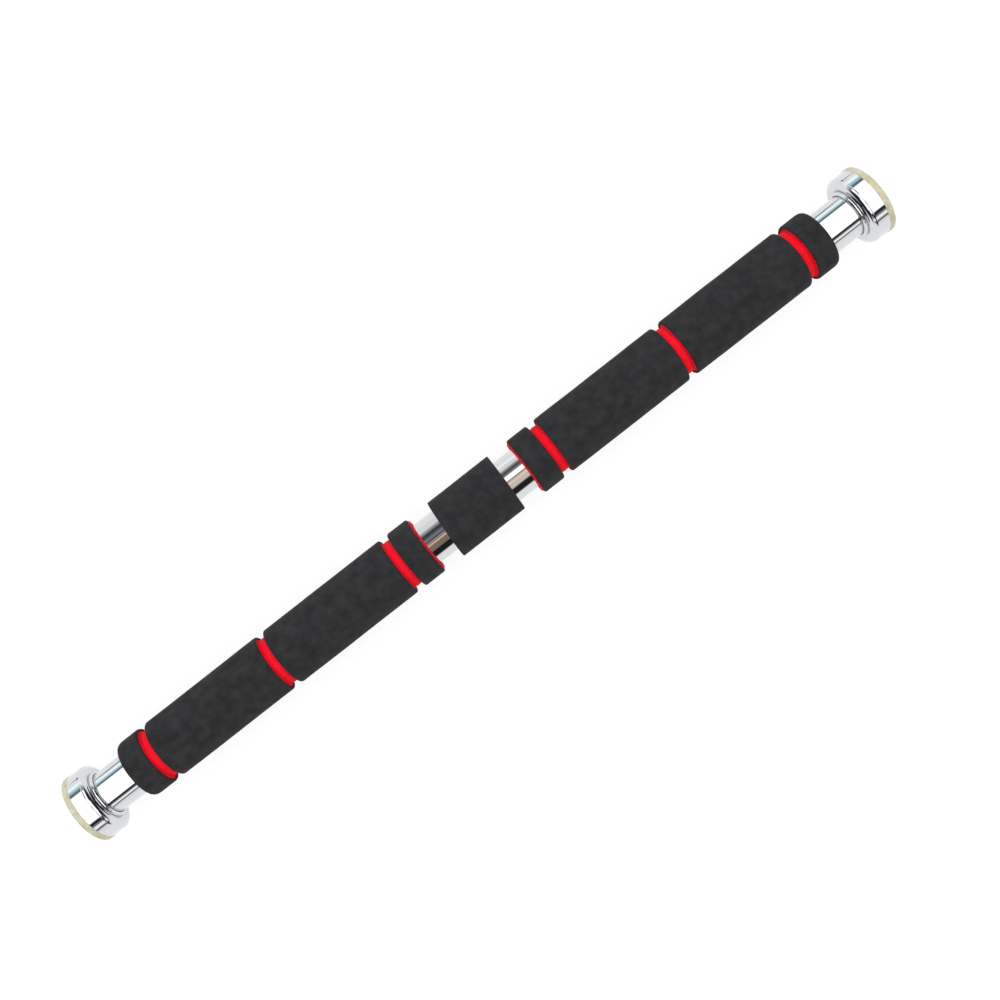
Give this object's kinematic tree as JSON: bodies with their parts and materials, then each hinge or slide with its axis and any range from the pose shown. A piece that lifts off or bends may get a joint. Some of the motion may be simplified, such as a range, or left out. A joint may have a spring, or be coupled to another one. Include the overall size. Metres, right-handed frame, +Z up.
{
  "type": "pull up bar",
  "caption": "Screw-out doorway pull up bar with chromed tube, red and black foam grips, and a padded cup at each end.",
  "frame": {"origin": "middle of the bar, on its axis", "axes": "+X along the bar towards its right-hand end, +Z up, +Y to the back; the bar is at its closed length"},
  "size_m": [0.64, 0.049, 0.049],
  "materials": {
    "chrome": "bright chrome plate on steel",
    "black_foam": "matte skived nitrile foam",
    "red_foam": "matte skived nitrile foam",
    "pad_pvc": "soft translucent PVC, satin",
    "nylon": "moulded natural nylon",
    "steel": "zinc plated steel",
    "brass": "turned brass"
  },
  "bodies": {
    "main_bar": {"main_tube": "chrome", "centre_plug": "nylon", "lead_screw": "steel", "cross_pins": "steel", "stop_washers": "steel", "retaining_clips": "steel", "centre_sleeve": "black_foam", "left_grip_core": "red_foam", "left_grip_band_1": "black_foam", "left_grip_band_2": "black_foam", "left_grip_band_3": "black_foam", "left_grip_band_4": "black_foam", "right_grip_core": "red_foam", "right_grip_band_1": "black_foam", "right_grip_band_2": "black_foam", "right_grip_band_3": "black_foam", "right_grip_band_4": "black_foam"},
    "left_guide": {"left_guide_bush": "nylon"},
    "left_end": {"left_inner_tube": "chrome", "left_wear_ring": "nylon", "left_travel_nut": "brass", "left_tube_plug": "steel", "left_backing_disc": "steel", "left_cup_screw": "steel", "left_end_cup": "chrome", "left_end_pad": "pad_pvc"},
    "right_guide": {"right_guide_bush": "nylon"},
    "right_end": {"right_inner_tube": "chrome", "right_wear_ring": "nylon", "right_travel_nut": "brass", "right_tube_plug": "steel", "right_backing_disc": "steel", "right_cup_screw": "steel", "right_end_cup": "chrome", "right_end_pad": "pad_pvc"}
  },
  "joints": [
    {"name": "left_turn", "type": "hinge", "parent": "main_bar", "child": "left_guide", "pos_m": [0, 0, 0], "axis": [1, 0, 0], "range_deg": [0, 16200]},
    {"name": "left_extend", "type": "slide", "parent": "left_guide", "child": "left_end", "axis": [-1, 0, 0], "range_m": [0, 0.18]},
    {"name": "right_turn", "type": "hinge", "parent": "main_bar", "child": "right_guide", "pos_m": [0, 0, 0], "axis": [1, 0, 0], "range_deg": [0, 16200]},
    {"name": "right_extend", "type": "slide", "parent": "right_guide", "child": "right_end", "axis": [1, 0, 0], "range_m": [0, 0.18]}
  ],
  "couplings": [
    {"joint": "left_extend", "follows": "left_turn", "m_per_rad": 0.00063662},
    {"joint": "right_extend", "follows": "right_turn", "m_per_rad": 0.00063662}
  ]
}
